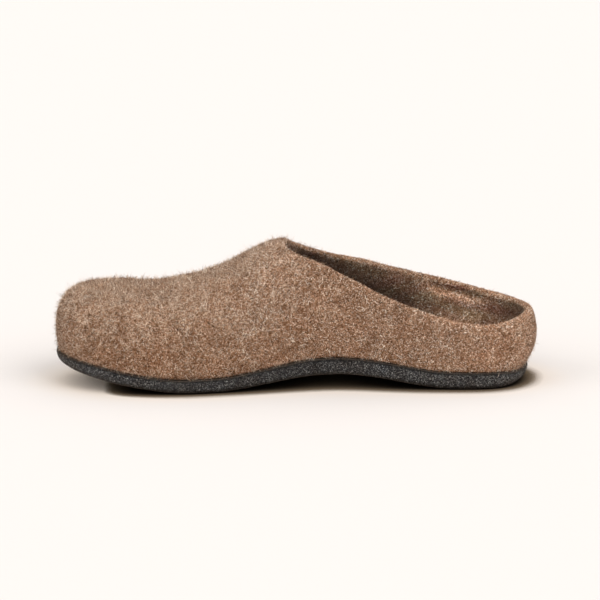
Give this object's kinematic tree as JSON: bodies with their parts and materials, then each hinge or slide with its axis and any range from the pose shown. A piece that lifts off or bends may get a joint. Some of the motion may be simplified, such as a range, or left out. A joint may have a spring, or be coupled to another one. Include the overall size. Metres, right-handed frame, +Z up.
{
  "type": "felt slipper",
  "caption": "Right felt slipper of the clog kind: hollow brown wool felt upper with a blunt toe and open heel collar, felt insole and thick charcoal sole.",
  "frame": {"origin": "middle of the part's bounding box in plan, on the floor that the sole stands on", "axes": "+X from the heel towards the toe, +Y towards the wearer's left (the inner side of a right foot), +Z up"},
  "size_m": [0.2688, 0.0982, 0.0788],
  "materials": {
    "felt": "napped wool felt, mixed light and dark brown fibres",
    "insole_felt": "pressed wool felt",
    "sole": "matt, soft, with a fibrous side"
  },
  "bodies": {
    "root": {"upper": "felt", "insole": "insole_felt", "sole": "sole"}
  },
  "joints": []
}
